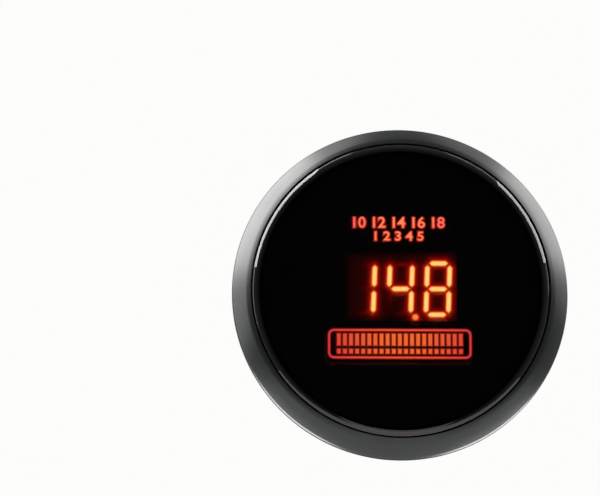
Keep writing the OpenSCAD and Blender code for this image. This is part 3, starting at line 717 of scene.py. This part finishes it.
dial_paint = make_material("dial_paint", grey(0.006), 0.75)
tint(dial_paint, noise(dial_paint, 2 * MM), grey(0.005), grey(0.008))
add_bump(dial_paint, noise(dial_paint, 0.1 * MM, 2), 0.005 * MM)
black_film = make_material("black_film", (0.008, 0.004, 0.004), 0.4)
tint(black_film, noise(black_film, 1 * MM), (0.006, 0.003, 0.003), (0.01, 0.005, 0.005))
vary_roughness(black_film, noise(black_film, 1 * MM), 0.35, 0.5)


def across_dial(material, half_width):
    """A factor that runs from 0 in the middle of the dial to 1 at a distance left and right of it."""
    parts = add_node(material, "ShaderNodeSeparateXYZ")
    join(material, place_in_space(material), parts.inputs["Vector"])
    side = add_node(material, "ShaderNodeMath", operation="ABSOLUTE")
    join(material, parts.outputs["X"], side.inputs[0])
    span = add_node(material, "ShaderNodeMapRange", from_min=0, from_max=half_width * MM)
    join(material, side.outputs[0], span.inputs["Value"])
    return span.outputs["Result"]


def legend_glow(name, half_width, middle, end):
    """Film lit from behind, brighter in the middle than at the ends."""
    material = make_material(name, (0.3, 0.08, 0.04), 0.4)
    set_emission(material, ramp(material, across_dial(material, half_width), (0.25, middle), (1.0, end)),
                 1 / lens_clearness)
    vary_roughness(material, noise(material, 0.3 * MM), 0.35, 0.5)
    return material


numbers_glow = legend_glow("numbers_glow", 9, (1.5, 0.34, 0.14), (1.3, 0.17, 0.15))
bars_glow = legend_glow("bars_glow", 13, (1.1, 0.2, 0.04), (0.85, 0.05, 0.05))
frame_glow = legend_glow("frame_glow", 13, (1.1, 0.12, 0.07), (0.95, 0.06, 0.06))
numbers_stray = legend_glow("numbers_stray", 13, (0.5, 0.02, 0.01), (0.4, 0.012, 0.012))
stray_glow = legend_glow("stray_glow", 13, (0.3, 0.01, 0.005), (0.22, 0.006, 0.006))

fit(eased("dial_disc", "dial_plate", 0.06 * MM), dial_paint, "dial_black", "dial_plate")
dress("upper_window_film", black_film)
dress("lower_window_film", black_film)
for name, text, width, height, z in (("upper_numbers", "10 12 14 16 18", 16.3, 2.0, 12.45),
                                     ("lower_numbers", "1 2 3 4 5", 8.7, 1.65, 9.95)):
    fit(number_row(name, text, width, height, z, number_weight, print_height), numbers_glow, "window_film")
    fit(number_row(name + "_halo", text, width + 2 * halo_spread, height + 2 * halo_spread, z, halo_weight,
                   halo_height), numbers_stray, "window_film")
fit(raised_shapes("scale_frame", print_height, *frame_outlines()), frame_glow, "window_film")
fit(raised_shapes("scale_frame_halo", halo_height, *frame_outlines(halo_spread)), stray_glow, "window_film")
fit(raised_shapes("scale_bars", print_height, scale_outlines()), bars_glow, "window_film")
fit(raised_shapes("scale_bars_halo", halo_height, scale_outlines(halo_spread)), stray_glow, "window_film")


# Lens and its rubber ring. The lens is one thick disc of smoked acrylic with a polished, rounded edge that
# stands proud of the bezel's mouth. Its flange is held under the bezel's lip, on the ring.
on_axis = 1e-6


def bow(start, end, sag, steps=8):
    """Points on the arc that bows out to the right of the line from start to end."""
    (ax, ay), (bx, by) = start, end
    chord = math.hypot(bx - ax, by - ay)
    radius = (chord * chord / 4 + sag * sag) / (2 * sag)
    out = ((by - ay) / chord, -(bx - ax) / chord)
    centre = ((ax + bx) / 2 - out[0] * (radius - sag), (ay + by) / 2 - out[1] * (radius - sag))
    middle = math.atan2(out[1], out[0])
    half = math.asin(chord / 2 / radius)
    return [(centre[0] + radius * math.cos(middle - half + 2 * half * i / steps),
             centre[1] + radius * math.sin(middle - half + 2 * half * i / steps))
            for i in range(steps + 1)]


def soften(outline, reach):
    """A closed outline with each corner of more than 20 degrees turned into a small curve."""
    steps = 4
    least_corner = math.radians(20)
    longest_share = 0.45
    found = []
    for before, corner, after in zip(outline[-1:] + outline[:-1], outline, outline[1:] + outline[:1]):
        corner, back, on = Vector(corner), Vector(before) - Vector(corner), Vector(after) - Vector(corner)
        if corner.x < on_axis or math.pi - back.angle(on) < least_corner:
            found.append(tuple(corner))
            continue
        start = corner + back.normalized() * min(reach, back.length * longest_share)
        end = corner + on.normalized() * min(reach, on.length * longest_share)
        for i in range(steps + 1):
            t = i / steps
            found.append(tuple(start * (1 - t) ** 2 + corner * 2 * t * (1 - t) + end * t ** 2))
    return found


def lathe(name, outline, segments=192, crease=35):
    """Turns a closed outline of (radius, height) points, in millimetres, round an axis along the gauge."""
    points, rings = [], []
    for radius, out in outline:
        count = 1 if radius < on_axis else segments
        rings.append(range(len(points), len(points) + count))
        points += [on_dial(radius * math.cos(math.tau * i / segments),
                           radius * math.sin(math.tau * i / segments), out) for i in range(count)]
    faces = []
    for low, high in zip(rings, rings[1:] + rings[:1]):
        for i in range(segments):
            j = (i + 1) % segments
            if len(low) == 1 and len(high) > 1:
                faces.append((low[0], high[i], high[j]))
            elif len(high) == 1 and len(low) > 1:
                faces.append((low[i], low[j], high[0]))
            elif len(low) > 1:
                faces.append((low[i], low[j], high[j], high[i]))
    return add_mesh(name, points, faces, crease)


ring_inner = 24.4
ring_outer = 27.2
ring_back = 2.4
ring_front = 3.2
ring_round = 0.15
black_rubber = moulded_black("ring_rubber", 0.03, 0.75, 0.2 * MM)
fit(lathe("rubber_ring", soften([(ring_inner, ring_back), (ring_outer, ring_back),
                                 (ring_outer, ring_front), (ring_inner, ring_front)], ring_round)),
    black_rubber, "black_rubber", "lens_gasket")

lens_back = 3.2
flange_r = 27.3
flange_front = 4.2
lens_r = 26.45
lens_shoulder = 4.9
face_r = 24.7
face_front = 5.7
round_edge_sag = 0.21
edge_break = 0.06
lens_colour = (lens_clearness, lens_clearness * 0.95, lens_clearness * 0.95)
smoked_acrylic = make_material("smoked_acrylic", lens_colour, 0.03)
shader_of(smoked_acrylic).inputs["Transmission Weight"].default_value = 1.0
shader_of(smoked_acrylic).inputs["IOR"].default_value = 1.49
shader_of(smoked_acrylic).inputs["Coat Weight"].default_value = 1.0
shader_of(smoked_acrylic).inputs["Coat IOR"].default_value = 2.0
vary_roughness(smoked_acrylic, noise(smoked_acrylic, 5 * MM), 0.015, 0.035)
lens_outline = ([(0, lens_back), (flange_r, lens_back), (flange_r, flange_front), (lens_r, flange_front)]
                + bow((lens_r, lens_shoulder), (face_r, face_front), round_edge_sag, steps=16)
                + [(0, face_front)])
fit(lathe("lens_disc", soften(lens_outline, edge_break), segments=256, crease=50), smoked_acrylic,
    "smoked_lens", "lens")


# Bezel. A black anodised ring, turned and bead blasted to a smooth satin. It snaps over the housing's
# collar and holds the lens down, with an open groove left round the lens.
bezel_r = 30.0
bezel_h = 5.1
bezel_bore = 27.65
foot_bevel = 0.3
side_top = 1.0
band_foot = (29.6, 2.1)
band_head = (27.45, 4.6)
mouth_r = 26.55
shoulder_sag = 0.1
band_sag = 0.08
lip_sag = 0.02
snap_r = 27.95
snap_back = 0.7
snap_front = 1.7
lip = (mouth_r + edge_break, bezel_h)
bezel_outline = (
    [(bezel_bore, 0.0), (bezel_r - foot_bevel, 0.0), (bezel_r, foot_bevel)]
    + bow((bezel_r, side_top), band_foot, shoulder_sag)
    + bow(band_foot, band_head, band_sag, steps=14)[1:]
    + bow(band_head, lip, lip_sag)[1:]
    + [(mouth_r, bezel_h - edge_break), (mouth_r, flange_front), (bezel_bore, flange_front),
       (bezel_bore, snap_front), (snap_r, snap_front), (snap_r, snap_back), (bezel_bore, snap_back)]
)
satin_black = make_material("satin_black", (0.125, 0.137, 0.137), 0.3, 1.0)
tint(satin_black, noise(satin_black, 6 * MM), (0.12, 0.131, 0.131), (0.13, 0.142, 0.142))
vary_roughness(satin_black, noise(satin_black, 0.5 * MM), 0.28, 0.34)
add_bump(satin_black, noise(satin_black, 0.12 * MM, 2), 0.0015 * MM)
fit(lathe("bezel_ring", soften(bezel_outline, edge_break), segments=256, crease=60), satin_black,
    "bezel_black", "bezel")


# Studs and rear cover. Two threaded steel studs stick out of the back, their heads inside the cover. Four
# slotted screws in counterbores hold the cover to the housing's bosses.
def threaded_stud(name, centre_x):
    """An M4 stud with a right-hand thread cut from its tip to the rear cover, and a flat head inside."""
    segments = 32
    samples = 8
    rings = [(0.0, stud_tip)]
    turns = int((thread_foot - stud_tip) / thread_pitch * samples)
    rings += [(None, stud_tip + (thread_foot - stud_tip) * i / turns) for i in range(turns + 1)]
    rings += [(stud_r, thread_foot), (stud_r, cover_inside), (stud_head_r, cover_inside),
              (stud_head_r, cover_inside + stud_head_t), (0.0, cover_inside + stud_head_t)]
    points, rows = [], []
    for radius, out in rings:
        count = 1 if radius == 0.0 else segments
        rows.append(range(len(points), len(points) + count))
        for i in range(count):
            turn = math.tau * i / segments
            if radius is None:
                phase = (-out / thread_pitch - i / segments) % 1
                ridge = min(1, max(0, flank_slope * (1 - abs(2 * phase - 1)) - root_flat))
                reach = stud_r - thread_depth * (1 - ridge)
                reach = min(reach, stud_r - tip_chamfer + (out - stud_tip))
            else:
                reach = radius
            points.append(on_dial(centre_x + reach * math.sin(turn), reach * math.cos(turn), out))
    faces = []
    for low, high in zip(rows, rows[1:]):
        for i in range(segments):
            j = (i + 1) % segments
            if len(low) == 1:
                faces.append((low[0], high[i], high[j]))
            elif len(high) == 1:
                faces.append((low[i], low[j], high[0]))
            else:
                faces.append((low[i], low[j], high[j], high[i]))
    return add_mesh(name, points, faces, crease=50)


stud_r = 2.0
stud_tip = -50.0
stud_x = 14.0
thread_foot = -28.6
thread_pitch = 0.7
thread_depth = 0.38
flank_slope = 1.4
root_flat = 0.1
tip_chamfer = 0.5
cover_inside = -26.0
stud_head_r = 3.4
stud_head_t = 1.2
stud_zinc = turned_metal("stud_zinc", (0.66, 0.67, 0.68), 0.3, (1, 1, 1))
cover_nylon = moulded_black("cover_nylon", 0.024, 0.48, 0.22 * MM)
fit(threaded_stud("left_threaded_stud", -stud_x), stud_zinc, "stud_steel", "left_stud")
fit(threaded_stud("right_threaded_stud", stud_x), stud_zinc, "stud_steel", "right_stud")
fit(eased("cover_disc", "rear_cover", 0.15 * MM), cover_nylon, "housing_black", "rear_cover")
fit(eased("cover_fixings", "cover_screws", 0.08 * MM), screw_zinc, "screw_steel", "cover_screws")


# Strap clamp. A strip of zinc-plated steel bent to a U bridges the back of the gauge. Its feet pull
# against the rear of the panel when the thumb nuts are turned on the studs.
strap_zinc = turned_metal("strap_zinc", (0.62, 0.63, 0.64), 0.34, (1, 1, 5))
fit(eased("strap", "clamp_bracket", 0.18 * MM), strap_zinc, "clamp_steel", "clamp_bracket", body="clamp")
fit(eased("flat_washers", "plain_washers", 0.1 * MM), strap_zinc, "clamp_steel", "plain_washers",
    body="clamp")


# Spring washers. A ring of square spring steel wire lies under each nut, cut through at one side. Its ends
# are sprung a little apart, so that the nut can't work loose.
def split_rings(name):
    """A ring of square wire on each stud, split at one side, that climbs a little round its turn."""
    steps = 64
    half_t = (spring_front - spring_back - spring_climb) / 2
    section = [(spring_inner, spring_ease - half_t), (spring_inner + spring_ease, -half_t),
               (spring_outer - spring_ease, -half_t), (spring_outer, spring_ease - half_t),
               (spring_outer, half_t - spring_ease), (spring_outer - spring_ease, half_t),
               (spring_inner + spring_ease, half_t), (spring_inner, half_t - spring_ease)]
    corners = len(section)
    points, faces = [], []
    for centre_x in (-stud_x, stud_x):
        first = len(points)
        for i in range(steps + 1):
            share = i / steps
            turn = spring_slit + (math.tau - 2 * spring_slit) * share
            middle = (spring_front + spring_back) / 2 + spring_climb * (share - 0.5)
            points += [on_dial(centre_x + r * math.cos(turn), r * math.sin(turn), middle + h)
                       for r, h in section]
        for i in range(steps):
            for k in range(corners):
                a, b = first + i * corners + k, first + i * corners + (k + 1) % corners
                faces.append((a, b, b + corners, a + corners))
        faces.append([first + k for k in range(corners)])
        faces.append([first + steps * corners + k for k in range(corners)])
    return add_mesh(name, points, faces)


spring_front = -32.5
spring_back = -33.5
spring_climb = 0.2
spring_inner = 2.2
spring_outer = 3.6
spring_ease = 0.12
spring_slit = math.radians(5)
spring_steel = turned_metal("spring_steel", (0.4, 0.41, 0.43), 0.32, (1, 1, 1))
fit(split_rings("split_washers"), spring_steel, "clamp_steel", "spring_washers", body="clamp")


# Thumb nuts. Turned brass nuts with a plain collar and a head cut with grooves for the fingers. Both turn
# on the studs to draw the clamp up or to let it back.
def thumb_nut(name, centre_x):
    """A grooved nut. Each ring is a height with the radius of its ridges and the depth of its grooves."""
    groove_steps = 14
    segments = nut_grooves * groove_steps
    head_front = nut_front - nut_collar_t
    rings = [(nut_bore + bore_bevel, nut_back, 0)]
    rings += [(nut_r - inwards, nut_back + along, depth) for inwards, along, depth in round_rim]
    rings += [(nut_r - inwards, head_front - along, depth) for inwards, along, depth in reversed(round_rim)]
    rings += [(nut_collar_r + root_width, head_front, 0), (nut_collar_r, head_front + root_height, 0),
              (nut_collar_r, nut_front - collar_bevel, 0), (nut_collar_r - collar_bevel, nut_front, 0),
              (nut_bore + bore_bevel, nut_front, 0), (nut_bore, nut_front - bore_bevel, 0),
              (nut_bore, nut_back + bore_bevel, 0)]
    points, faces = [], []
    for radius, out, depth in rings:
        for i in range(segments):
            turn = math.tau * i / segments
            along = ((i + 0.5 * groove_steps) % groove_steps / groove_steps - 0.5) * 2
            across = along * math.tau * nut_r / nut_grooves / 2
            cut = math.sqrt(max(0, 1 - (across / groove_half) ** 2))
            reach = radius - depth * cut
            points.append(on_dial(centre_x + reach * math.cos(turn), reach * math.sin(turn), out))
    for k in range(len(rings)):
        low, high = k * segments, (k + 1) % len(rings) * segments
        for i in range(segments):
            j = (i + 1) % segments
            faces.append((low + i, low + j, high + j, high + i))
    return add_mesh(name, points, faces, crease=40)


nut_r = 5.5
nut_bore = 2.05
nut_front = -33.5
nut_back = -39.5
nut_collar_r = 3.6
nut_collar_t = 1.5
nut_grooves = 20
groove_depth = 0.42
groove_half = 0.42
bore_bevel = 0.25
collar_bevel = 0.2
root_width = 0.15
root_height = 0.12

# Steps of the head's round rim: how far inwards, how far along, and how deep the grooves are there
round_rim = ((0.55, 0.0, 0.0), (0.35, 0.06, 0.1), (0.1, 0.3, 0.3), (0.0, 0.55, groove_depth))
nut_metal = turned_metal("nut_metal", (0.7, 0.52, 0.25), 0.28, (1, 5, 1))
fit(thumb_nut("left_knurled_nut", -stud_x), nut_metal, "nut_brass", "left_thumb_nut", body="left_nut")
fit(thumb_nut("right_knurled_nut", stud_x), nut_metal, "nut_brass", "right_thumb_nut", body="right_nut")
